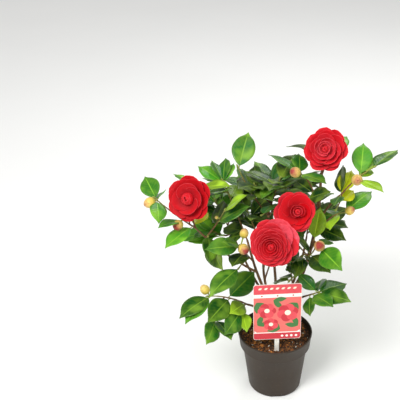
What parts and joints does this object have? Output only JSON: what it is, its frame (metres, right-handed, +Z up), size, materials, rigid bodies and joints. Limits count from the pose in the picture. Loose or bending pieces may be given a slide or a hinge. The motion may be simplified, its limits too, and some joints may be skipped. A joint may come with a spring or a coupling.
{
  "type": "potted camellia shrub",
  "caption": "Evergreen flowering shrub with glossy oval leaves, double red blossoms and round buds, in a round plastic pot with a plain plant label.",
  "frame": {"origin": "centre of the pot's flat underside", "axes": "+Z up along the pot's axis, -Y towards the side with the label, +X to the right seen from that side"},
  "size_m": [0.479, 0.3114, 0.5656],
  "materials": {
    "pot_plastic": "matt taupe-brown moulded plastic",
    "potting_mix": "moist peat and bark chips",
    "label_card": "printed coral-red card",
    "label_stick": "off-white moulded plastic",
    "bark": "thin brown bark",
    "foliage": "glossy evergreen leaf",
    "petals": "satin red petal"
  },
  "bodies": {
    "root": {"pot": "pot_plastic", "potting_mix": "potting_mix", "label_card": "label_card", "label_stick": "label_stick", "trunk": "bark", "bough_right": "bark", "bough_left": "bark", "bough_centre": "bark", "bough_far_left": "bark", "bough_lower_left": "bark", "bough_lower_right": "bark", "bough_right_side": "bark", "bough_right_front": "bark", "bough_back": "bark", "bough_back_left": "bark", "bough_back_right": "bark", "bloom_top": "petals", "bloom_left": "petals", "bloom_front": "petals", "bloom_upper": "petals", "foliage_far_left": "foliage", "foliage_left_inner": "foliage", "foliage_upper_left": "foliage", "foliage_top": "foliage", "foliage_centre": "foliage", "foliage_inner": "foliage", "foliage_front_left": "foliage", "foliage_lower_left": "foliage", "foliage_lower_right": "foliage", "foliage_right_mid": "foliage", "foliage_right_edge": "foliage", "foliage_right": "foliage", "foliage_crown_right": "foliage", "foliage_crown_left": "foliage", "foliage_sprig": "foliage", "foliage_low_back": "foliage", "foliage_back": "foliage", "foliage_back_left": "foliage", "foliage_back_right": "foliage"}
  },
  "joints": []
}
